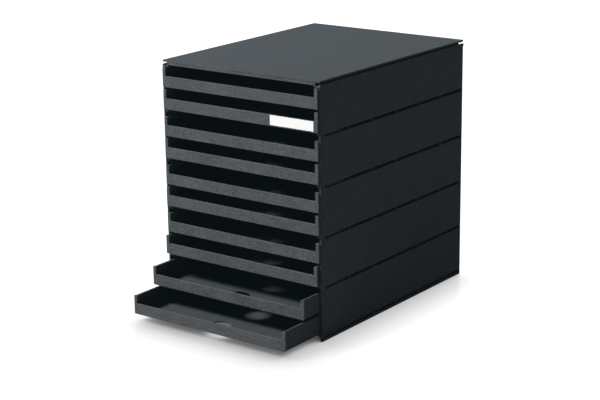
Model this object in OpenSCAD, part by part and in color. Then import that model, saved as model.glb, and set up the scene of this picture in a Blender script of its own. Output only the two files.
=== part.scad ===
// File box: five stacked frames under one cover, with two sliding letter trays in each frame.
// Millimetres. +Z is up, the front faces -Y, and the origin is the centre of the footprint.

/* [Casing] */
// Outer width of the casing
body_w = 246; // [200:1:320]
// Depth of the casing, from the front edges of its walls to its back
body_d = 326; // [240:1:400]
// Thickness of the side walls
side_wall = 3; // [2.6:0.2:5]
// Thickness of the back wall
back_wall = 2.4; // [1.6:0.2:5]
// Thickness of the floor panel in each frame
floor_t = 1.8; // [1.2:0.1:2.6]
// Distance from the front edge back to the floor panel
floor_setback = 30; // [12:1:60]
// Radius of the two rear corners
rear_radius = 2; // [0.6:0.2:3]
// Radius along the front edges of the side walls
front_radius = 0.6; // [0.2:0.1:1.2]
// Chamfer under the front end of each side wall
foot_chamfer = 1.5; // [0.5:0.1:2]

/* [Side grooves] */
// Height of the flush strip under each groove
strip_h = 2.8; // [2.4:0.2:5]
// Height of the groove in the side of each frame
groove_h = 4; // [2:0.2:8]
// Distance from the front edge back to the groove
groove_front = 7; // [4:0.5:20]
// Distance from the end of the groove to the back
groove_rear = 4.5; // [4:0.5:20]
// Lengths that the ribs divide each groove into
groove_parts = 6; // [2:1:10]
// Thickness of each rib across a groove
rib_t = 1; // [0.8:0.1:2]
// Thickness of the web behind each groove
web_t = 2.2; // [1.2:0.2:3]

/* [Runners] */
// Thickness of the ledge over each groove, under the lower tray
ledge_t = 2; // [1.2:0.2:4]
// Thickness of the runner under the upper tray
runner_t = 2.4; // [1.6:0.1:4]
// How far ledges and runners reach in from the side walls
runner_w = 4; // [3:0.2:8]
// Distance from the front edge back to the ledges and runners
runner_setback = 0.8; // [0.6:0.1:6]

/* [Trays] */
// Height of a tray at its sides
tray_h = 25; // [18:0.5:40]
// Height of the low lip across a tray's front
lip_h = 14; // [8:0.5:16]
// Thickness of a tray's front plate
front_t = 2.5; // [1.6:0.1:5]
// Thickness of a tray's side walls
tray_wall = 3; // [1.6:0.1:4]
// Thickness of a tray's floor
tray_floor = 2; // [1.2:0.1:4]
// Thickness of a tray's back wall
tray_back = 2.4; // [1.6:0.1:5]
// Distance from the side of the casing in to a tray's front plate
front_inset = 2.3; // [0.5:0.1:3]
// Radius of the front plate's corners
plate_radius = 1; // [0.4:0.1:2]
// Radius where the lip meets the posts
lip_fillet = 1.5; // [0.5:0.1:4]
// Radius of a tray's rear corners
tray_radius = 3; // [1:0.5:6]
// Diameter of the finger hole in a tray's floor
hole_d = 27; // [16:1:34]
// Distance from a tray's front face back to the centre of the finger hole
hole_from_front = 26.5; // [21:0.5:60]
// How far each tray stands open at rest, from the top one down
rest_open = [0.5, 0.3, 0, 0.1, 0, 0.3, 0, 4.3, 31.8, 69.8];

/* [Pull-out stops] */
// Distance from the front edge back to the stop tabs
stop_from_front = 38; // [10:1:80]
// Length of a stop tab, front to back
stop_len = 3; // [1.5:0.5:8]
// How far a stop tab reaches in past its runner
stop_w = 3.6; // [2:0.2:8]
// How far the catch hangs below a tray
catch_drop = 2.2; // [1.4:0.1:3]
// Length of a catch, front to back
catch_len = 4; // [2:0.5:8]
// Width of a catch
catch_w = 2.8; // [1.6:0.1:6]
// Distance from a tray's back forward to its catches
catch_from_back = 10; // [2:0.5:40]

/* [Top cover] */
// Thickness of the top plate
plate_t = 2.4; // [1.6:0.1:5]
// Height of the open slot under the edge of the plate
slot_h = 2.6; // [1.5:0.1:6]
// Height of the strip that rests on the top frame
cover_strip_h = 3.3; // [2.4:0.1:6]
// Thickness of the flange that joins the strip to the web
flange_t = 1.6; // [1.2:0.1:2.4]
// Depth of the slot, from the side of the casing in
slot_depth = 7.6; // [5:0.2:14]
// Thickness of the web behind the slot
cover_web_t = 1.8; // [1.2:0.1:3]
// How far the front rim hangs below the plate
rim_drop = 3.7; // [1.5:0.1:4]
// Thickness of the front rim
rim_t = 2; // [1.2:0.1:4]
// Distance from the front edge back to the front rim
rim_setback = 0.3; // [0:0.1:2]
// Radius of the top plate's corners
cover_radius = 1.2; // [0.4:0.1:3]

/* [Locating tabs] */
// Length of the tabs that locate each frame on the one below
tab_len = 20; // [8:1:40]
// Thickness of a locating tab
tab_t = 1.4; // [1:0.1:1.8]
// Height of a locating tab
tab_h = 1.6; // [0.8:0.1:1.8]
// Distance from the front and the back to the locating tabs
tab_from_end = 50; // [20:1:90]

/* [Label] */
// Width of the blank label on the second tray
label_w = 65; // [20:1:160]
// Thickness of the label
label_t = 0.25; // [0.1:0.05:0.5]
// Height of the strip of the lip that shows under the label
label_foot = 1.5; // [0.2:0.1:4]
// Distance from the top of the lip down to the label
label_head = 0.1; // [0:0.1:3]
// Distance from the right end of the front plate to the label
label_inset = 6; // [2:0.2:40]

/* [Fits] */
// Gap between a tray and the runner under it
slide_gap = 0.3; // [0.2:0.05:0.8]
// Gap on each side of a tray
side_gap = 1; // [0.4:0.1:2]
// Gap between the front plate of a shut tray and the casing
closed_gap = 0.2; // [0.1:0.05:0.5]
// Gap behind a shut tray
rear_gap = 1.6; // [0.5:0.1:8]
// Gap between the lower tray and the runner over it
runner_gap = 1.1; // [0.5:0.1:4]
// Gap between the upper tray and what is over it
head_gap = 0.8; // [0.4:0.1:4]
// Gap between a catch and its runner
catch_gap = 0.4; // [0.2:0.1:0.8]
// Gap around a locating tab
tab_gap = 0.2; // [0.1:0.05:0.3]

/* [Hidden] */
$fn = 48;

// Length by which a shape runs into or past the next one, so that cuts and joints are clean
bite = 0.5;
frame_count = 5;

front_y = -body_d / 2;
back_y = body_d / 2;
cavity_x = body_w / 2 - side_wall;
runner_x = cavity_x - runner_w;
groove_x = runner_x + web_t;
groove_len = body_d - groove_front - groove_rear;
groove_part_len = (groove_len - (groove_parts - 1) * rib_t) / groove_parts;

// Heights inside one frame, from its own bottom
ledge_top = strip_h + groove_h + ledge_t;
lower_tray_z = ledge_top + slide_gap;
runner_top = lower_tray_z + tray_h + runner_gap + runner_t;
upper_tray_z = runner_top + slide_gap;
module_h = upper_tray_z + tray_h + head_gap;

plate_w = body_w - 2 * front_inset;
tray_w = body_w - 2 * side_wall - 2 * side_gap;
tray_inner_x = tray_w / 2 - tray_wall;
tray_len = front_t + closed_gap + body_d - back_wall - rear_gap;

slot_x = body_w / 2 - slot_depth;
cover_web_x = slot_x - cover_web_t;
plate_z = cover_strip_h + slot_h;

function frame_z(n) = (frame_count - n) * module_h;
function tray_z(t) = frame_z(ceil(t / 2)) + (t % 2 == 1 ? upper_tray_z : lower_tray_z);
function tray_y(t) = front_y - closed_gap - front_t - rest_open[t - 1];

// Rectangle centred on X, from y = 0 to d, with its front and rear corners rounded
module rounded_sheet(w, d, front_r, rear_r) {
    translate([-w / 2, front_r])
        square([w, d - front_r - rear_r]);
    translate([-w / 2 + front_r, 0])
        square([w - 2 * front_r, front_r + bite]);
    translate([-w / 2 + rear_r, d - rear_r - bite])
        square([w - 2 * rear_r, rear_r + bite]);
    for (side = [-1, 1]) {
        translate([side * (w / 2 - front_r), front_r])
            circle(r = front_r);
        translate([side * (w / 2 - rear_r), d - rear_r])
            circle(r = rear_r);
    }
}

module both_sides() {
    children();
    mirror([1, 0, 0])
        children();
}

// Plan of the back wall and the two side walls
module wall_plan() {
    difference() {
        translate([0, front_y])
            rounded_sheet(body_w, body_d, front_radius, rear_radius);
        translate([-cavity_x, front_y - bite])
            square([2 * cavity_x, body_d - back_wall + bite]);
        both_sides()
            translate([cavity_x - bite, front_y - bite])
                square([side_wall + 2 * bite, 2 * front_radius + bite]);
    }
    both_sides()
        translate([(cavity_x + body_w / 2) / 2, front_y])
            rounded_sheet(side_wall, 4 * front_radius, front_radius, front_radius / 2);
}

// Bar along the inside of a side wall, from the given distance behind the front to the back wall
module side_bar(setback, z, h) {
    translate([runner_x, front_y + setback, z])
        cube([runner_w + bite, body_d - setback - back_wall + bite, h]);
}

// Tab that the catch under a tray runs against when the tray is pulled out
module stop_tab(top_z, h) {
    translate([runner_x - stop_w, front_y + stop_from_front, top_z - h])
        cube([stop_w + bite, stop_len, h]);
}

module locating_tabs(gap, h) {
    for (y = [front_y + tab_from_end, back_y - tab_from_end - tab_len])
        translate([cavity_x + tab_gap - gap, y - gap, -bite])
            cube([tab_t + 2 * gap, tab_len + 2 * gap, h + gap + bite]);
}

module side_groove() {
    for (i = [0 : groove_parts - 1])
        translate([groove_x, front_y + groove_front + i * (groove_part_len + rib_t), strip_h])
            cube([body_w / 2 - groove_x + bite, groove_part_len, groove_h]);
}

// Chamfer along the inner bottom edge of a side wall, ahead of the groove
module front_foot_cut() {
    translate([0, front_y + groove_front, 0])
        rotate([90, 0, 0])
            linear_extrude(groove_front + bite)
                polygon([
                    [cavity_x - bite, -bite],
                    [cavity_x + foot_chamfer + bite, -bite],
                    [cavity_x - bite, foot_chamfer + bite]
                ]);
}

module stack_frame(n) {
    color([0.13, 0.14, 0.15])
        translate([0, 0, frame_z(n)])
            difference() {
                union() {
                    linear_extrude(module_h)
                        wall_plan();
                    translate([-runner_x - bite, front_y + floor_setback, 0])
                        cube([2 * (runner_x + bite), body_d - floor_setback - back_wall + bite, floor_t]);
                    both_sides() {
                        side_bar(groove_front, 0, ledge_top);
                        side_bar(runner_setback, strip_h + groove_h - ledge_t, 2 * ledge_t);
                        side_bar(runner_setback, runner_top - runner_t, runner_t);
                        stop_tab(ledge_top, ledge_t);
                        stop_tab(runner_top, runner_t);
                        translate([0, 0, module_h])
                            locating_tabs(0, tab_h);
                    }
                }
                both_sides() {
                    side_groove();
                    front_foot_cut();
                    locating_tabs(tab_gap, tab_h);
                }
            }
}

module frame_1() {
    stack_frame(1);
}

module frame_2() {
    stack_frame(2);
}

module frame_3() {
    stack_frame(3);
}

module frame_4() {
    stack_frame(4);
}

module frame_5() {
    stack_frame(5);
}

module top_cover() {
    color([0.3, 0.31, 0.32])
        translate([0, 0, frame_count * module_h])
            difference() {
                union() {
                    translate([0, front_y, plate_z])
                        linear_extrude(plate_t)
                            rounded_sheet(body_w, body_d, cover_radius, rear_radius);
                    both_sides() {
                        translate([cover_web_x, front_y, 0])
                            cube([cover_web_t, body_d, plate_z + bite]);
                        translate([cover_web_x, front_y, 0])
                            cube([body_w / 2 - cover_web_x - bite, body_d, flange_t]);
                        translate([cavity_x, front_y, 0])
                            cube([side_wall, body_d, cover_strip_h]);
                    }
                    translate([-slot_x, front_y + rim_setback, plate_z - rim_drop])
                        cube([2 * slot_x, rim_t, rim_drop + bite]);
                    translate([-slot_x, back_y - back_wall, 0])
                        cube([2 * slot_x, back_wall, plate_z + bite]);
                }
                both_sides()
                    locating_tabs(tab_gap, tab_h);
            }
}

// Outline of a tray's front plate: the lip and the two posts that end its side walls
module front_outline() {
    translate([-plate_w / 2 + plate_radius, 0])
        square([plate_w - 2 * plate_radius, plate_radius + bite]);
    translate([-plate_w / 2, plate_radius])
        square([plate_w, lip_h - plate_radius]);
    both_sides() {
        translate([plate_w / 2 - plate_radius, plate_radius])
            circle(r = plate_radius);
        translate([plate_w / 2 - plate_radius, tray_h - plate_radius])
            circle(r = plate_radius);
        translate([tray_inner_x, lip_h - bite])
            square([plate_w / 2 - tray_inner_x, tray_h - plate_radius - lip_h + bite]);
        translate([tray_inner_x, tray_h - plate_radius - bite])
            square([plate_w / 2 - plate_radius - tray_inner_x, plate_radius + bite]);
        difference() {
            translate([tray_inner_x - lip_fillet, lip_h - bite])
                square([lip_fillet + bite, lip_fillet + bite]);
            translate([tray_inner_x - lip_fillet, lip_h + lip_fillet])
                circle(r = lip_fillet);
        }
    }
}

// Catch under a tray, which meets the stop tab when the tray is pulled right out
module tray_catch() {
    translate([
        runner_x - catch_gap - catch_w,
        tray_len - catch_from_back - catch_len,
        -catch_drop
    ])
        cube([catch_w, catch_len, catch_drop + bite]);
}

module slide_tray(t) {
    color([0.27, 0.28, 0.29])
        translate([0, tray_y(t), tray_z(t)])
            difference() {
                union() {
                    translate([0, front_t, 0])
                        rotate([90, 0, 0])
                            linear_extrude(front_t)
                                front_outline();
                    difference() {
                        translate([0, front_t - bite, 0])
                            linear_extrude(tray_h)
                                rounded_sheet(tray_w, tray_len - front_t + bite, bite / 2, tray_radius);
                        translate([-tray_inner_x, -bite, tray_floor])
                            cube([2 * tray_inner_x, tray_len - tray_back + bite, tray_h]);
                    }
                    both_sides()
                        tray_catch();
                }
                translate([0, hole_from_front, -bite])
                    cylinder(d = hole_d, h = tray_floor + 2 * bite);
            }
}

module tray_1() {
    slide_tray(1);
}

module tray_2() {
    slide_tray(2);
}

module tray_3() {
    slide_tray(3);
}

module tray_4() {
    slide_tray(4);
}

module tray_5() {
    slide_tray(5);
}

module tray_6() {
    slide_tray(6);
}

module tray_7() {
    slide_tray(7);
}

module tray_8() {
    slide_tray(8);
}

module tray_9() {
    slide_tray(9);
}

module tray_10() {
    slide_tray(10);
}

// Blank label on the lip of the second tray
module label_strip() {
    color("white")
        translate([
            plate_w / 2 - label_inset - label_w,
            tray_y(2) - label_t,
            tray_z(2) + label_foot
        ])
            cube([label_w, label_t, lip_h - label_foot - label_head]);
}

top_cover();
frame_1();
frame_2();
frame_3();
frame_4();
frame_5();
tray_1();
tray_2();
tray_3();
tray_4();
tray_5();
tray_6();
tray_7();
tray_8();
tray_9();
tray_10();
label_strip();
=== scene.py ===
"""Dresses a packed file box: stacked frames, sliding letter trays, a top cover and a label."""

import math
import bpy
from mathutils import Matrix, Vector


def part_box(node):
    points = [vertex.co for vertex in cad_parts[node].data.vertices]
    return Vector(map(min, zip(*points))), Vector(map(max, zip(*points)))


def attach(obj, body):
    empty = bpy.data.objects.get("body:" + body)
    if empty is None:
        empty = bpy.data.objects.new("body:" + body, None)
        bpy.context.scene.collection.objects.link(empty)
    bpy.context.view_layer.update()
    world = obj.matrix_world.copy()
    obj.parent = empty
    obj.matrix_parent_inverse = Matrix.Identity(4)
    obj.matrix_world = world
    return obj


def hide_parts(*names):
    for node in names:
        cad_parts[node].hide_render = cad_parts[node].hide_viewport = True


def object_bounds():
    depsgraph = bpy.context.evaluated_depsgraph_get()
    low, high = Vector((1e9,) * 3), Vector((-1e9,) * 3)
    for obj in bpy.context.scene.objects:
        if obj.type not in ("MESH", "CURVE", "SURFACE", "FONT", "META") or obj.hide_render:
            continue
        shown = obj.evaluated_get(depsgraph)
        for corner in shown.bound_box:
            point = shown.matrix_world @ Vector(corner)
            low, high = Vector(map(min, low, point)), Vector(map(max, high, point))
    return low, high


bl_info = {
    "name": "File Box",
    "version": (1, 0, 0),
    "blender": (4, 5, 0),
    "location": "View3D > Sidebar > File Box",
    "description": "Models a stacking file box with sliding letter trays round its packed frame",
    "category": "Object",
}

import bmesh
import bpy
from bpy.props import FloatProperty, FloatVectorProperty, IntProperty, PointerProperty
from bpy.types import Operator, Panel, PropertyGroup
from mathutils import Matrix, Vector

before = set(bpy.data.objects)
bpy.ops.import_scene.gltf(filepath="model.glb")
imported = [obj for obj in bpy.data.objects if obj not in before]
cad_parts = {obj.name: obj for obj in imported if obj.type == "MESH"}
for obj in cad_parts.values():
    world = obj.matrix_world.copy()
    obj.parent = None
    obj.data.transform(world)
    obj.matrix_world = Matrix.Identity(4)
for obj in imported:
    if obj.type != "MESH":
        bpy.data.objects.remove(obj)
cad_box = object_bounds()

FRAME_NODES = ["frame_1", "frame_2", "frame_3", "frame_4", "frame_5"]
TRAY_NODES = [f"tray_{number}" for number in range(1, 11)]
LABELLED_TRAY = "tray_2"
CASING_BODY = "casing"

# How far a shape runs into the one that it grows out of, and how far it stays from its faces
ROOT = 0.0005
SKIN = 0.00002

# How squarely a face has to look along an axis to be cut, or to belong to the cover's front
SQUARE_ON = 0.999
FORWARD = 0.9

# Arcs: sections and profile of a moulded corner, sections of the finger hole
CORNER_SEGMENTS = 5
CORNER_PROFILE = 0.5
HOLE_SEGMENTS = 72

# Softened edges: sections, and the angle from which an edge is softened
EDGE_SEGMENTS = 2
EDGE_ANGLE = math.radians(40)

# A tray's inner rear corners as a share of its wall, the label's edges as a share of its thickness
INNER_CORNER = 0.4
LABEL_EDGE = 0.25

# The plastic's tone: shares of grain, flow marks and clouds, and how strongly they show
GRAIN_SHARE = 0.65
FLOW_SHARE = 0.2
CLOUD_SHARE = 0.15
TONE_CONTRAST = 4.0
MIDDLE = 0.5

# The plastic's surface: size of the clouds, direction of the flow marks, relief and roughness
CLOUD_SIZE = 0.03
FLOW_SCALE = (0.12, 0.5, 1.0)
RELIEF_STRENGTH = 0.6
ROUGHNESS_SWING = 0.12
NOISE_ROUGHNESS = 0.6

# The label's card: size of its fibres, its darkest and lightest share, its roughness
FIBRE_SIZE = 0.0006
FIBRE_DARK = 0.97
FIBRE_LIGHT = 1.02
CARD_ROUGHNESS = 0.75

# The floor of the stage: distance under the feet, gloss, and how its painted shadow is reckoned
FLOOR_GAP = 0.0002
FLOOR_ROUGHNESS = 0.3
FLOOR_GLOSS = 0.25
SHADE_SAMPLES = 16
PAINTED_UNDER_START = 0.08
PAINTED_UNDER_GAIN = 3

BLACK = (0, 0, 0, 1)
WHITE = (1, 1, 1, 1)


def length(label, description, default, low=0.0, high=1.0):
    """A size in metres that the sidebar shows in the scene's own length unit."""
    return FloatProperty(
        name=label,
        description=description,
        default=default,
        min=low,
        max=high,
        precision=5,
        unit="LENGTH",
    )


def colour(label, description, default):
    """A linear colour that the sidebar shows as a swatch."""
    return FloatVectorProperty(
        name=label,
        description=description,
        default=default,
        size=3,
        min=0.0,
        max=1.0,
        subtype="COLOR",
    )


def factor(label, description, default):
    """A share from 0 to 1."""
    return FloatProperty(
        name=label,
        description=description,
        default=default,
        min=0.0,
        max=1.0,
        subtype="FACTOR",
    )


def position(label, description, default):
    """A point in metres."""
    return FloatVectorProperty(
        name=label,
        description=description,
        default=default,
        size=3,
        unit="LENGTH",
        subtype="TRANSLATION",
    )


def angle(label, description, degrees):
    """An angle that is written in degrees."""
    return FloatProperty(
        name=label, description=description, default=math.radians(degrees), subtype="ANGLE"
    )


def power(label, description, default):
    """The power of a lamp in watts."""
    return FloatProperty(
        name=label, description=description, default=default, min=0.0, unit="POWER"
    )


class FileBoxCasing(PropertyGroup):
    """Sizes of the stacked frames."""

    side_wall: length("Side wall", "Thickness of the side walls", 0.003)
    back_wall: length("Back wall", "Thickness of the back wall", 0.0024)
    height: length("Frame height", "Height of one frame", 0.0637)
    floor_panel: length("Floor panel", "Thickness of the panel under the lower tray", 0.0018)
    floor_setback: length("Panel setback", "Distance from the front to the floor panel", 0.03)
    rear_radius: length("Rear radius", "Radius of the rear corners", 0.002)
    front_radius: length("Front radius", "Radius along the front edges", 0.0006)
    foot_chamfer: length("Foot chamfer", "Chamfer inside the front foot of each side", 0.0015)
    strip: length("Strip", "Height of the strip under each groove", 0.0028)
    groove: length("Groove", "Height of the groove along each side", 0.004)
    groove_front: length("Groove start", "Distance from the front to the groove", 0.007)
    groove_rear: length("Groove end", "Distance from the groove to the back", 0.0045)
    groove_parts: IntProperty(
        name="Groove lengths",
        description="Lengths that the ribs divide each groove into",
        default=6,
        min=1,
    )
    rib: length("Rib", "Thickness of the ribs across a groove", 0.001)
    web: length("Web", "Thickness of the wall behind a groove", 0.0022)
    ledge: length("Ledge", "Thickness of the ledge over each groove", 0.002)
    runner: length("Runner", "Thickness of the runner under the upper tray", 0.0024)
    runner_reach: length("Runner reach", "How far ledges and runners stand in", 0.004)
    runner_setback: length("Runner setback", "Distance from the front to the ledges", 0.0008)
    runner_top: length("Runner height", "Height of the runner's top in its frame", 0.0376)
    stop_reach: length("Stop reach", "How far a stop tab stands in from its runner", 0.0036)
    stop_length: length("Stop length", "Length of a stop tab", 0.003)
    stop_setback: length("Stop setback", "Distance from the front to a stop tab", 0.038)


class FileBoxCover(PropertyGroup):
    """Sizes of the top cover."""

    plate: length("Plate", "Thickness of the top plate", 0.0024)
    strip: length("Strip", "Height of the strip on the top frame", 0.0033)
    flange: length("Flange", "Thickness of the flange behind the strip", 0.0016)
    slot_depth: length("Slot depth", "Depth of the slot under each long edge", 0.0076)
    web: length("Web", "Thickness of the wall behind the slot", 0.0018)
    rim: length("Rim", "Thickness of the front rim", 0.002)
    rim_drop: length("Rim drop", "How far the front rim hangs down", 0.0037)
    rim_setback: length("Rim setback", "Distance from the front edge to the rim", 0.0003)
    front_radius: length("Front radius", "Radius of the plate's front corners", 0.0012)
    rear_radius: length("Rear radius", "Radius of the plate's rear corners", 0.002)


class FileBoxTray(PropertyGroup):
    """Sizes of one letter tray."""

    height: length("Height", "Height of a tray at its sides", 0.025)
    wall: length("Wall", "Thickness of the side walls", 0.003)
    back: length("Back", "Thickness of the back wall", 0.0024)
    floor: length("Floor", "Thickness of the floor", 0.002)
    lip: length("Lip", "Height of the lip across the front", 0.014)
    front: length("Front plate", "Thickness of the front plate", 0.0025)
    overhang: length("Overhang", "How far the front plate stands out past a side", 0.0017)
    corner_radius: length("Plate radius", "Radius of the front plate's corners", 0.001)
    lip_fillet: length("Lip fillet", "Radius where the lip meets the posts", 0.0015)
    rear_radius: length("Rear radius", "Radius of the rear corners", 0.003)
    hole: length("Finger hole", "Diameter of the finger hole", 0.027)
    hole_setback: length("Hole setback", "Distance from the front to the hole's centre", 0.0265)
    catch_drop: length("Catch drop", "How far the catches hang down", 0.0022)
    catch_length: length("Catch length", "Length of a catch", 0.004)
    catch_width: length("Catch width", "Width of a catch", 0.0028)
    catch_setback: length("Catch setback", "Distance from the back to the catches", 0.01)
    catch_inset: length("Catch inset", "Distance from a tray's side to its catches", 0.0034)


class FileBoxFinish(PropertyGroup):
    """Colours and surface of the box."""

    casing: colour("Casing", "Colour of the frames and the cover", (0.045, 0.052, 0.057))
    tray: colour("Trays", "Colour inside the trays and on their sides", (0.045, 0.052, 0.057))
    # The fronts are the same plastic as the casing, made lighter as painted light for the stronger
    # light on the front
    front: colour(
        "Fronts", "Colour of the trays' plates and the cover's rim", (0.083, 0.088, 0.094)
    )
    label: colour("Label", "Colour of the blank label", (0.95, 0.95, 0.94))
    casing_roughness: factor("Casing roughness", "Roughness of the frames and the cover", 0.5)
    tray_roughness: factor("Tray roughness", "Roughness of the trays", 0.5)
    floor_roughness: factor("Tray floor roughness", "Roughness inside a tray", 0.34)
    # Depth is a painted glow: a constant emission on every piece of plastic that lifts its deepest
    # shade, though the plastic gives no light
    depth: colour(
        "Depth", "Light that the plastic gives in the deepest shade", (0.0024, 0.0043, 0.0053)
    )
    shine: factor("Shine", "Strength of the reflections, where 0.5 is plain plastic", 0.006)
    grain: length("Grain", "Size of the moulded grain", 0.0016)
    relief: length("Relief", "Depth of the moulded grain", 0.00003)
    casing_mottle: factor("Casing mottle", "How much the grain varies the casing's tone", 0.25)
    front_mottle: factor("Front mottle", "How much the grain varies the fronts' tone", 0.4)
    edge: length("Edges", "Radius that softens the moulded edges", 0.0003)
    label_corner: length("Label corners", "Radius of the label's corners", 0.0006)


class FileBoxStage(PropertyGroup):
    """Floor, lights and camera."""

    floor: colour("Floor", "Colour of the floor, which lights the object", (0.45, 0.45, 0.45))
    floor_seen: colour("Floor seen", "What the camera sees of that colour", (0.05, 0.05, 0.05))
    floor_size: length("Floor size", "Length of each side of the floor", 12.0, high=50.0)
    # Painted shadow: ambient occlusion, leaning towards the rear left, darkens the floor's glow
    # near the object and leaves it dark under it
    painted_shade_reach: length("Shade reach", "How far the object shades the floor's own light", 0.06)
    painted_under_reach: length("Under reach", "Height under which the object leaves the floor dark", 0.02)
    painted_shade_lean: position("Shade lean", "Where the shading light comes from", (-0.5, 1.4, 1.0))
    sky: factor("Sky", "Strength of the light from all round", 0.03)
    key_power: power("Main lamp", "Power of the lamp at the front left", 184.0)
    key_place: position("Main lamp place", "Where the main lamp hangs", (-1.69, -1.56, 2.69))
    key_size: length("Main lamp size", "Length of each side of the main lamp", 0.9, high=5.0)
    rear_power: power("Rear lamp", "Power of the lamp behind", 25.0)
    rear_place: position("Rear lamp place", "Where the rear lamp hangs", (0.3, 2.6, 1.2))
    rear_size: length("Rear lamp size", "Length of each side of the rear lamp", 1.2, high=5.0)
    lens: FloatProperty(
        name="Lens",
        description="Focal length, in millimetres",
        default=97.28,
        min=1.0,
        unit="CAMERA",
    )
    camera_place: position("Camera place", "Where the camera stands", (1.2210, -1.6772, 0.7129))
    camera_turn: angle("Turn", "How far the camera has gone round to the right", 36.726)
    camera_tilt: angle("Tilt", "How far the camera looks down", 15.843)
    camera_roll: angle("Roll", "How far the camera leans", -0.700)


class Value:
    """A socket that holds a number, on which sums are written as Python expressions."""

    def __init__(self, shader, socket):
        self.shader = shader
        self.socket = socket

    def __add__(self, other):
        return self.shader.sum("ADD", self, other)

    def __sub__(self, other):
        return self.shader.sum("SUBTRACT", self, other)

    def __rsub__(self, other):
        return self.shader.sum("SUBTRACT", other, self)

    def __mul__(self, other):
        return self.shader.sum("MULTIPLY", self, other)

    __radd__ = __add__
    __rmul__ = __mul__


class Shader:
    """The node tree of a material or a world, with the node that makes its look."""

    def __init__(self, owner, look):
        owner.use_nodes = True
        self.nodes = owner.node_tree.nodes
        self.links = owner.node_tree.links
        self.look = self.nodes[look]

    def fill(self, node, inputs):
        """Sets or links the sockets of a node, found by identifier or by name."""
        for key, value in inputs.items():
            socket = next(s for s in node.inputs if key in (s.identifier, s.name))
            if isinstance(value, Value):
                value = value.socket
            if isinstance(value, bpy.types.NodeSocket):
                self.links.new(value, socket)
            else:
                socket.default_value = value

    def add(self, kind, output, settings=None, inputs=None):
        """Adds a node of a kind, with its settings made first, and returns one of its outputs."""
        node = self.nodes.new(kind)
        for key, value in (settings or {}).items():
            setattr(node, key, value)
        self.fill(node, inputs or {})
        return next(s for s in node.outputs if output in (s.identifier, s.name))

    def sum(self, operation, first, second):
        """One step of arithmetic on numbers or Values."""
        inputs = {"Value": first, "Value_001": second}
        return Value(self, self.add("ShaderNodeMath", "Value", {"operation": operation}, inputs))

    def noise(self, place, size, detail):
        """Noise from 0 to 1 whose lumps have the given size in metres."""
        inputs = {
            "Vector": place,
            "Scale": 1.0 / size,
            "Detail": detail,
            "Roughness": NOISE_ROUGHNESS,
        }
        return Value(self, self.add("ShaderNodeTexNoise", "Fac", inputs=inputs))

    def blend(self, share, first, second):
        """The first colour at a share of 0, the second at 1."""
        inputs = {"Factor_Float": share, "A_Color": first, "B_Color": second}
        return self.add("ShaderNodeMix", "Result_Color", {"data_type": "RGBA"}, inputs)


def new_material(name):
    """An empty material and its shader."""
    made = bpy.data.materials.new(name)
    return made, Shader(made, "Principled BSDF")


def shade(base, amount):
    """A colour made darker or lighter by a share of itself, with its alpha."""
    return (*(channel * amount for channel in base), 1.0)


def moulded_plastic(name, base, roughness, mottle, finish):
    """Black plastic with a fine moulded grain, faint flow marks along the piece, and a constant
    painted glow that lifts its deepest shade.
    """
    made, shader = new_material(name)
    place = shader.add("ShaderNodeTexCoord", "Object")
    stretched = shader.add(
        "ShaderNodeMapping", "Vector", inputs={"Vector": place, "Scale": FLOW_SCALE}
    )
    grain = shader.noise(place, finish.grain, detail=3.0)
    flow = shader.noise(stretched, finish.grain, detail=2.0)
    cloud = shader.noise(place, CLOUD_SIZE, detail=2.0)
    mixed = grain * GRAIN_SHARE + flow * FLOW_SHARE + cloud * CLOUD_SHARE
    tone = (mixed - MIDDLE) * TONE_CONTRAST + MIDDLE
    relief = shader.add(
        "ShaderNodeBump",
        "Normal",
        inputs={"Height": grain, "Strength": RELIEF_STRENGTH, "Distance": finish.relief},
    )
    shader.fill(
        shader.look,
        {
            "Base Color": shader.blend(tone, shade(base, 1 - mottle), shade(base, 1 + mottle)),
            "Roughness": roughness + (cloud - MIDDLE) * ROUGHNESS_SWING,
            "Normal": relief,
            "Specular IOR Level": finish.shine,
            # Painted glow: the emission lifts the deepest shade of the plastic
            "Emission Color": shade(finish.depth, 1.0),
            "Emission Strength": 1.0,
        },
    )
    return made


def card(name, base):
    """Matte white card."""
    made, shader = new_material(name)
    place = shader.add("ShaderNodeTexCoord", "Object")
    fibres = shader.noise(place, FIBRE_SIZE, detail=4.0)
    shader.fill(
        shader.look,
        {
            "Base Color": shader.blend(
                fibres, shade(base, FIBRE_DARK), shade(base, FIBRE_LIGHT)
            ),
            "Roughness": CARD_ROUGHNESS,
        },
    )
    return made


def material(name, make, *settings):
    """The material of that name, made the first time that it is asked for."""
    return bpy.data.materials.get(name) or make(name, *settings)


def casing_plastic(finish):
    """The plastic of the frames and the cover."""
    return material(
        "Moulded casing",
        moulded_plastic,
        finish.casing,
        finish.casing_roughness,
        finish.casing_mottle,
        finish,
    )


def front_plastic_painted_light(finish):
    """The plastic of the trays' front plates and the cover's front: a lighter copy of the same
    plastic, painted light for the stronger light on the front.
    """
    return material(
        "Moulded front",
        moulded_plastic,
        finish.front,
        finish.tray_roughness,
        finish.front_mottle,
        finish,
    )


def corners_of(geometry):
    """The vertices among what a bmesh operator gives back."""
    return [item for item in geometry if isinstance(item, bmesh.types.BMVert)]


def faces_of(geometry):
    """The faces among what a bmesh operator gives back."""
    return [item for item in geometry if isinstance(item, bmesh.types.BMFace)]


def round_off(shape, parts, radius, kind):
    """Rounds the VERTICES of a flat outline, or the EDGES of a solid."""
    bmesh.ops.bevel(
        shape,
        geom=parts,
        offset=radius,
        offset_type="OFFSET",
        segments=CORNER_SEGMENTS,
        profile=CORNER_PROFILE,
        affect=kind,
        material=-1,
    )


def extrude(shape, faces, lift):
    """Makes flat faces a closed solid by extruding them along a vector."""
    grown = bmesh.ops.extrude_face_region(shape, geom=faces)["geom"]
    bmesh.ops.translate(shape, verts=corners_of(grown), vec=lift)


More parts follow.
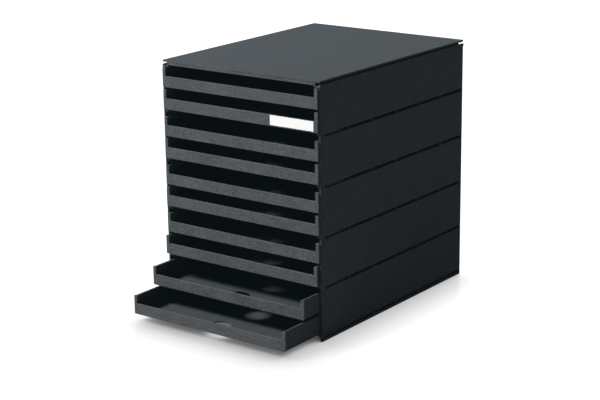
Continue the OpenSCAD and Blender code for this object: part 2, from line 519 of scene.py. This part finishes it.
def add_outline(shape, points, lift, rounds=()):
    """Adds a closed solid: an outline, with some of its corners rounded, extruded along a vector.

    rounds holds pairs of a radius and the numbers of the outline's points that get it.
    """
    corners = [shape.verts.new(point) for point in points]
    shape.faces.new(corners)
    rounded = [(radius, [corners[number] for number in numbers]) for radius, numbers in rounds]
    before = set(shape.faces) - {corners[0].link_faces[0]}
    for radius, group in rounded:
        round_off(shape, group, radius, "VERTICES")
    extrude(shape, [face for face in shape.faces if face not in before], lift)


def add_block(shape, low, high):
    """Adds a block between two opposite corners."""
    low, high = Vector(low), Vector(high)
    size = high - low
    stretch = Matrix.Translation((low + high) / 2) @ Matrix.Diagonal((*size, 1.0))
    bmesh.ops.create_cube(shape, size=1.0, matrix=stretch)


def mirror_across(shape):
    """Adds the mirror image of everything in the shape on the other side of the middle."""
    copied = bmesh.ops.duplicate(
        shape, geom=[*shape.verts, *shape.edges, *shape.faces]
    )["geom"]
    bmesh.ops.scale(shape, vec=(-1.0, 1.0, 1.0), verts=corners_of(copied))
    bmesh.ops.reverse_faces(shape, faces=faces_of(copied))


def cut_across(shape, faces, point, normal):
    """Cuts a line into flat faces, without taking anything away."""
    edges = {edge for face in faces for edge in face.edges}
    corners = {corner for face in faces for corner in face.verts}
    bmesh.ops.bisect_plane(
        shape, geom=[*faces, *edges, *corners], plane_co=point, plane_no=normal
    )


def finish_mesh(shape, name):
    """Turns the faces outwards and makes the shape a mesh."""
    bmesh.ops.recalc_face_normals(shape, faces=shape.faces)
    mesh = bpy.data.meshes.new(name)
    shape.to_mesh(mesh)
    shape.free()
    mesh.shade_smooth()
    return mesh


def moved_copy(mesh, name, place):
    """A copy of a mesh whose points are moved, so that its object stays at the origin."""
    copied = mesh.copy()
    copied.name = name
    copied.transform(Matrix.Translation(place))
    return copied


def add_piece(mesh, materials, body, node, edge):
    """Puts a mesh in the scene in place of a node, with its edges softened."""
    piece = bpy.data.objects.new(mesh.name, mesh)
    bpy.context.scene.collection.objects.link(piece)
    for finish in materials:
        mesh.materials.append(finish)
    softened = piece.modifiers.new("Softened edges", "BEVEL")
    softened.width = edge
    softened.segments = EDGE_SEGMENTS
    softened.limit_method = "ANGLE"
    softened.angle_limit = EDGE_ANGLE
    softened.use_clamp_overlap = False
    softened.harden_normals = True
    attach(piece, body)
    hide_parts(node)
    return piece


def groove_spans(sizes, front, back):
    """The two ends of each length of groove, from the front to the back."""
    start = front + sizes.groove_front
    ribs = (sizes.groove_parts - 1) * sizes.rib
    part = (back - sizes.groove_rear - start - ribs) / sizes.groove_parts
    return [
        (start + number * (part + sizes.rib), start + number * (part + sizes.rib) + part)
        for number in range(sizes.groove_parts)
    ]


def chamfer_feet(shape, sizes, edge, start):
    """Slants the inner bottom edge of each side wall outwards, ahead of the groove."""
    end = start - ROOT
    for y in (end, start):
        cut_across(shape, list(shape.faces), (0, y, 0), (0, 1, 0))
    ahead = [face for face in shape.faces if face.calc_center_median().y < end]
    cut_across(shape, ahead, (0, 0, sizes.foot_chamfer), (0, 0, 1))
    for corner in shape.verts:
        x, y, z = corner.co
        if abs(x) < edge + SKIN and y < end + SKIN and z < SKIN:
            corner.co.x += math.copysign(sizes.foot_chamfer, x)


def add_shell(shape, sizes, half, front, back, spans):
    """Adds the side walls and the back wall in one, with the grooves' openings cut through."""
    inner = half - sizes.side_wall
    wall = back - sizes.back_wall
    outline = [
        (half, front, 0),
        (half, back, 0),
        (-half, back, 0),
        (-half, front, 0),
        (-inner, front, 0),
        (-inner, wall, 0),
        (inner, wall, 0),
        (inner, front, 0),
    ]
    rounds = [(sizes.rear_radius, (1, 2)), (sizes.front_radius, (0, 3, 4, 7))]
    add_outline(shape, outline, (0, 0, sizes.height), rounds)
    chamfer_feet(shape, sizes, inner + sizes.front_radius, front + sizes.groove_front)
    bottom, top = sizes.strip, sizes.strip + sizes.groove
    lines = [((0, 0, height), (0, 0, 1)) for height in (bottom, top)]
    lines += [((0, end, 0), (0, 1, 0)) for span in spans for end in span]
    shape.normal_update()
    for point, normal in lines:
        sides = [
            face
            for face in shape.faces
            if abs(face.normal.x) > SQUARE_ON and face.calc_area() > sizes.strip**2
        ]
        cut_across(shape, sides, point, normal)
    for start, end in spans:
        for side in (-1, 1):
            cells = [
                face
                for face in shape.faces
                if abs(face.normal.x) > SQUARE_ON
                and face.calc_center_median().x * side > 0
                and start < face.calc_center_median().y < end
                and bottom < face.calc_center_median().z < top
            ]
            rims = [edge for face in cells for edge in face.edges]
            bmesh.ops.delete(shape, geom=cells, context="FACES_ONLY")
            bmesh.ops.bridge_loops(shape, edges=rims)


def add_runners(shape, sizes, inner, front, back, spans):
    """Adds what stands in from the right side wall: foot, web, ledge, ribs, runner and stops."""
    wall = inner + ROOT
    reach = inner - sizes.runner_reach
    web = reach + sizes.web
    top = sizes.strip + sizes.groove
    ledge = top + sizes.ledge
    rear = back - sizes.back_wall + ROOT
    start = front + sizes.groove_front
    profile = [
        (wall, start, 0),
        (reach, start, 0),
        (reach, start, ledge),
        (wall, start, ledge),
        (wall, start, top),
        (web, start, top),
        (web, start, sizes.strip),
        (wall, start, sizes.strip),
    ]
    add_outline(shape, profile, (0, rear - start, 0))
    end = front + sizes.runner_setback
    add_block(
        shape,
        (reach + SKIN, end, top - sizes.ledge),
        (wall, start + ROOT, ledge - SKIN),
    )
    add_block(
        shape,
        (reach, end, sizes.runner_top - sizes.runner),
        (wall, rear, sizes.runner_top),
    )
    for (_, near), (far, _) in zip(spans, spans[1:]):
        add_block(
            shape,
            (web - ROOT, near, sizes.strip - ROOT),
            (wall, far, top + ROOT),
        )
    stop = front + sizes.stop_setback
    for height, thickness in ((ledge, sizes.ledge), (sizes.runner_top, sizes.runner)):
        add_block(
            shape,
            (reach - sizes.stop_reach, stop, height - thickness),
            (reach + ROOT, stop + sizes.stop_length, height - SKIN),
        )


class FILEBOX_OT_frames(Operator):
    """Builds the five stacking frames of the casing"""

    bl_idname = "filebox.frames"
    bl_label = "Build the frames"

    def execute(self, context):
        sizes = context.scene.filebox_casing
        finish = context.scene.filebox_finish
        low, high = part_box(FRAME_NODES[-1])
        half, front, back = high.x, low.y, high.y
        inner = half - sizes.side_wall
        spans = groove_spans(sizes, front, back)
        shape = bmesh.new()
        add_runners(shape, sizes, inner, front, back, spans)
        mirror_across(shape)
        add_block(
            shape,
            (-inner + ROOT, front + sizes.floor_setback, SKIN),
            (inner - ROOT, back - sizes.back_wall + ROOT, sizes.floor_panel),
        )
        add_shell(shape, sizes, half, front, back, spans)
        mesh = finish_mesh(shape, "Frame")
        for node in FRAME_NODES:
            copied = moved_copy(mesh, node.capitalize(), (0, 0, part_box(node)[0].z))
            piece = add_piece(copied, [casing_plastic(finish)], CASING_BODY, node, finish.edge)
        bpy.data.meshes.remove(mesh)
        return {"FINISHED"}


class FILEBOX_OT_cover(Operator):
    """Builds the top cover with the open slots under its long edges"""

    bl_idname = "filebox.cover"
    bl_label = "Build the cover"

    def execute(self, context):
        sizes = context.scene.filebox_cover
        casing = context.scene.filebox_casing
        finish = context.scene.filebox_finish
        low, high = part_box("top_cover")
        half, front, back = high.x, low.y, high.y
        under = high.z - sizes.plate
        slot = half - sizes.slot_depth
        inner = slot - sizes.web
        strip = half - casing.side_wall
        right = [
            (half, under),
            (slot, under),
            (slot, low.z + sizes.flange),
            (strip, low.z + sizes.flange),
            (strip, low.z + sizes.strip),
            (half, low.z + sizes.strip),
            (half, low.z),
            (inner, low.z),
            (inner, under),
        ]
        profile = [(half, high.z), *right, *((-x, z) for x, z in reversed(right)), (-half, high.z)]
        shape = bmesh.new()
        add_outline(shape, [(x, front, z) for x, z in profile], (0, back - front, 0))
        for y, radius in ((front, sizes.front_radius), (back, sizes.rear_radius)):
            uprights = [
                edge
                for edge in shape.edges
                if all(
                    abs(abs(end.co.x) - half) < SKIN
                    and abs(end.co.y - y) < SKIN
                    and end.co.z > under - SKIN
                    for end in edge.verts
                )
                and edge.verts[0].co.x * edge.verts[1].co.x > 0
            ]
            round_off(shape, uprights, radius, "EDGES")
        rim = front + sizes.rim_setback
        add_block(
            shape,
            (-inner - ROOT, rim, under - sizes.rim_drop),
            (inner + ROOT, rim + sizes.rim, under + ROOT),
        )
        add_block(
            shape,
            (-inner - ROOT, back - casing.back_wall, low.z),
            (inner + ROOT, back - SKIN, under + ROOT),
        )
        mesh = finish_mesh(shape, "Top_cover")
        # The cover's forward faces take the lighter front plastic: painted light
        for face in mesh.polygons:
            at_front = face.center.y < rim + SKIN and face.center.z > under - sizes.rim_drop
            if at_front and face.normal.y < -FORWARD:
                face.material_index = 1
        plastics = [casing_plastic(finish), front_plastic_painted_light(finish)]
        piece = add_piece(mesh, plastics, CASING_BODY, "top_cover", finish.edge)
        return {"FINISHED"}


def add_tray_front(shape, sizes, half, front):
    """Adds the front plate: the lip, and the two posts that end the side walls."""
    inner = half - sizes.wall
    edge = half + sizes.overhang
    outline = [
        (-edge, 0),
        (edge, 0),
        (edge, sizes.height),
        (inner, sizes.height),
        (inner, sizes.lip),
        (-inner, sizes.lip),
        (-inner, sizes.height),
        (-edge, sizes.height),
    ]
    rounds = [(sizes.corner_radius, (0, 1, 2, 7)), (sizes.lip_fillet, (4, 5))]
    others = set(shape.faces)
    add_outline(shape, [(x, front, z) for x, z in outline], (0, sizes.front, 0), rounds)
    # The whole front plate takes the lighter front plastic: painted light
    for face in set(shape.faces) - others:
        face.material_index = 2


def add_tray_walls(shape, sizes, half, start, back):
    """Adds the two side walls and the back wall in one."""
    inner = half - sizes.wall
    wall = back - sizes.back
    outline = [
        (half, start),
        (half, back),
        (-half, back),
        (-half, start),
        (-inner, start),
        (-inner, wall),
        (inner, wall),
        (inner, start),
    ]
    lift = (0, 0, sizes.height - 2 * SKIN)
    rounds = [(sizes.rear_radius, (1, 2)), (sizes.wall * INNER_CORNER, (5, 6))]
    add_outline(shape, [(x, y, SKIN) for x, y in outline], lift, rounds)


def add_tray_floor(shape, sizes, half, start, back, hole_y):
    """Adds the floor with its round finger hole, and gives it the second material."""
    reach = half - sizes.wall + ROOT
    rear = back - sizes.back + ROOT
    low = 2 * SKIN
    outline = [(-reach, start, low), (reach, start, low), (reach, rear, low), (-reach, rear, low)]
    corners = [shape.verts.new(point) for point in outline]
    edges = [
        shape.edges.new((corner, corners[number - 1])) for number, corner in enumerate(corners)
    ]
    ring = bmesh.ops.create_circle(
        shape,
        segments=HOLE_SEGMENTS,
        radius=sizes.hole / 2,
        matrix=Matrix.Translation((0, hole_y, low)),
    )["verts"]
    edges += {edge for corner in ring for edge in corner.link_edges}
    filled = bmesh.ops.triangle_fill(shape, edges=edges, use_beauty=True)["geom"]
    extrude(shape, faces_of(filled), (0, 0, sizes.floor - low))
    for corner in [*corners, *ring]:
        for face in corner.link_faces:
            face.material_index = 1
    for face in shape.faces:
        if abs(face.calc_center_median().z - sizes.floor) < SKIN:
            face.material_index = 1


def add_catches(shape, sizes, half, back):
    """Adds the two catches under the rear end, which stop a tray that is pulled right out."""
    outer = half - sizes.catch_inset
    end = back - sizes.catch_setback
    for side in (-1, 1):
        near, far = sorted((side * outer, side * (outer - sizes.catch_width)))
        add_block(
            shape,
            (near, end - sizes.catch_length, -sizes.catch_drop),
            (far, end, sizes.floor / 2),
        )


class FILEBOX_OT_trays(Operator):
    """Builds the ten letter trays"""

    bl_idname = "filebox.trays"
    bl_label = "Build the trays"

    def execute(self, context):
        sizes = context.scene.filebox_tray
        finish = context.scene.filebox_finish
        low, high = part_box(TRAY_NODES[0])
        half = high.x - sizes.overhang
        depth = high.y - low.y
        embed = sizes.front / 2
        shape = bmesh.new()
        add_tray_floor(shape, sizes, half, embed, depth, sizes.hole_setback)
        add_tray_front(shape, sizes, half, 0)
        add_tray_walls(shape, sizes, half, embed, depth)
        add_catches(shape, sizes, half, depth)
        mesh = finish_mesh(shape, "Tray")
        tones = (
            ("Moulded tray", finish.tray_roughness),
            ("Tray floor", finish.floor_roughness),
        )
        plastics = [
            material(name, moulded_plastic, finish.tray, roughness, finish.casing_mottle, finish)
            for name, roughness in tones
        ]
        plastics.append(front_plastic_painted_light(finish))
        for node in TRAY_NODES:
            low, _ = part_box(node)
            place = (0, low.y, low.z + sizes.catch_drop)
            copied = moved_copy(mesh, node.capitalize(), place)
            piece = add_piece(copied, plastics, f"{node}_body", node, finish.edge)
        bpy.data.meshes.remove(mesh)
        return {"FINISHED"}


class FILEBOX_OT_label(Operator):
    """Builds the blank label on the second tray"""

    bl_idname = "filebox.label"
    bl_label = "Build the label"

    def execute(self, context):
        finish = context.scene.filebox_finish
        low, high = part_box("label_strip")
        outline = [
            (low.x, low.y, low.z),
            (high.x, low.y, low.z),
            (high.x, low.y, high.z),
            (low.x, low.y, high.z),
        ]
        shape = bmesh.new()
        thickness = high.y - low.y
        rounds = [(finish.label_corner, (0, 1, 2, 3))]
        add_outline(shape, outline, (0, thickness, 0), rounds)
        mesh = finish_mesh(shape, "Label")
        paper = material("White card", card, finish.label)
        edge = thickness * LABEL_EDGE
        piece = add_piece(mesh, [paper], f"{LABELLED_TRAY}_body", "label_strip", edge)
        return {"FINISHED"}


def seen_rays(shader):
    """1 for the rays that carry what the camera sees, directly or in a reflection."""
    rays = ("Is Camera Ray", "Is Glossy Ray", "Is Transmission Ray")
    return sum(Value(shader, shader.add("ShaderNodeLightPath", ray)) for ray in rays)


def studio_floor(name, stage):
    """A pale floor that looks white to the camera away from the object; its glow carries a painted
    shadow near and under it.
    """
    made, shader = new_material(name)
    lean = shader.add(
        "ShaderNodeVectorMath", "Vector", {"operation": "NORMALIZE"}, {"Vector": stage.painted_shade_lean}
    )
    # Painted shadow: ambient occlusion darkens the floor's glow near the object
    painted_shadow_ao = shader.add(
        "ShaderNodeAmbientOcclusion",
        "AO",
        {"samples": SHADE_SAMPLES},
        {"Distance": stage.painted_shade_reach, "Normal": lean},
    )
    painted_under_ao = shader.add(
        "ShaderNodeAmbientOcclusion",
        "AO",
        {"samples": SHADE_SAMPLES},
        {"Distance": stage.painted_under_reach},
    )
    seen = seen_rays(shader)
    painted_shadow_level = seen * Value(shader, painted_shadow_ao)
    painted_shadow_colour = shader.blend(painted_shadow_level, BLACK, WHITE)
    # Painted shade: the floor's glow is left dark where the object covers it closely
    painted_under_mask = (Value(shader, painted_under_ao) - PAINTED_UNDER_START) * PAINTED_UNDER_GAIN
    shader.fill(
        shader.look,
        {
            "Base Color": shader.blend(seen, shade(stage.floor, 1), shade(stage.floor_seen, 1)),
            "Roughness": FLOOR_ROUGHNESS,
            "Specular IOR Level": FLOOR_GLOSS,
            "Emission Color": shader.blend(painted_under_mask, BLACK, painted_shadow_colour),
            "Emission Strength": 1.0,
        },
    )
    return made


def add_lamp(name, place, aim, size, watts):
    """Adds a large soft square lamp that faces a point."""
    lamp = bpy.data.lights.new(name, "AREA")
    lamp.shape = "SQUARE"
    lamp.size = size
    lamp.energy = watts
    holder = bpy.data.objects.new(name, lamp)
    holder.location = place
    holder.rotation_euler = (Vector(aim) - Vector(place)).to_track_quat("-Z", "Y").to_euler()
    bpy.context.scene.collection.objects.link(holder)


def light_sky(world, strength):
    """Even light from all round, on a background that the camera sees as white."""
    shader = Shader(world, "Background")
    seen = seen_rays(shader)
    shader.fill(
        shader.look,
        {"Color": WHITE, "Strength": seen * (1 - strength) + strength},
    )


class FILEBOX_OT_stage(Operator):
    """Builds the floor, the lights and the camera"""

    bl_idname = "filebox.stage"
    bl_label = "Build the stage"

    def execute(self, context):
        scene = context.scene
        stage = scene.filebox_stage
        scene.view_settings.view_transform = "Standard"
        shape = bmesh.new()
        bmesh.ops.create_grid(shape, x_segments=1, y_segments=1, size=stage.floor_size / 2)
        bmesh.ops.translate(shape, verts=shape.verts, vec=(0, 0, -FLOOR_GAP))
        mesh = finish_mesh(shape, "Floor")
        mesh.materials.append(material("Studio floor", studio_floor, stage))
        floor = bpy.data.objects.new("Floor", mesh)
        scene.collection.objects.link(floor)

        centre = (cad_box[0] + cad_box[1]) / 2
        add_lamp("Main lamp", stage.key_place, centre, stage.key_size, stage.key_power)
        add_lamp("Rear lamp", stage.rear_place, centre, stage.rear_size, stage.rear_power)
        world = scene.world or bpy.data.worlds.new("Studio")
        scene.world = world
        light_sky(world, stage.sky)

        lens = bpy.data.cameras.new("Camera")
        lens.lens = stage.lens
        camera = bpy.data.objects.new("Camera", lens)
        camera.location = stage.camera_place
        turn = Matrix.Rotation(stage.camera_turn, 3, "Z")
        tilt = Matrix.Rotation(math.pi / 2 - stage.camera_tilt, 3, "X")
        lean = Matrix.Rotation(stage.camera_roll, 3, "Z")
        camera.rotation_euler = (turn @ tilt @ lean).to_euler()
        scene.collection.objects.link(camera)
        scene.camera = camera
        return {"FINISHED"}


class FILEBOX_PT_sidebar(Panel):
    """Lists the pieces of the file box and their sizes"""

    bl_label = "File Box"
    bl_idname = "FILEBOX_PT_sidebar"
    bl_space_type = "VIEW_3D"
    bl_region_type = "UI"
    bl_category = "File Box"

    def draw(self, context):
        for operator, group in BUILDERS:
            box = self.layout.box()
            settings = getattr(context.scene, group)
            for name in settings.__annotations__:
                box.prop(settings, name)
            box.operator(operator.bl_idname)


GROUPS = {
    "filebox_casing": FileBoxCasing,
    "filebox_cover": FileBoxCover,
    "filebox_tray": FileBoxTray,
    "filebox_finish": FileBoxFinish,
    "filebox_stage": FileBoxStage,
}
BUILDERS = (
    (FILEBOX_OT_frames, "filebox_casing"),
    (FILEBOX_OT_cover, "filebox_cover"),
    (FILEBOX_OT_trays, "filebox_tray"),
    (FILEBOX_OT_label, "filebox_finish"),
    (FILEBOX_OT_stage, "filebox_stage"),
)
CLASSES = (*GROUPS.values(), *(operator for operator, _ in BUILDERS), FILEBOX_PT_sidebar)


def register():
    """Makes the operators, the panel and the settings known to Blender."""
    for item in CLASSES:
        bpy.utils.register_class(item)
    for name, group in GROUPS.items():
        setattr(bpy.types.Scene, name, PointerProperty(type=group))


def unregister():
    """Takes them away again, in the opposite order."""
    for name in GROUPS:
        delattr(bpy.types.Scene, name)
    for item in reversed(CLASSES):
        bpy.utils.unregister_class(item)


def main():
    """Builds everything."""
    register()
    bpy.ops.filebox.frames()
    bpy.ops.filebox.cover()
    bpy.ops.filebox.trays()
    bpy.ops.filebox.label()
    bpy.ops.filebox.stage()


if __name__ == "__main__":
    main()
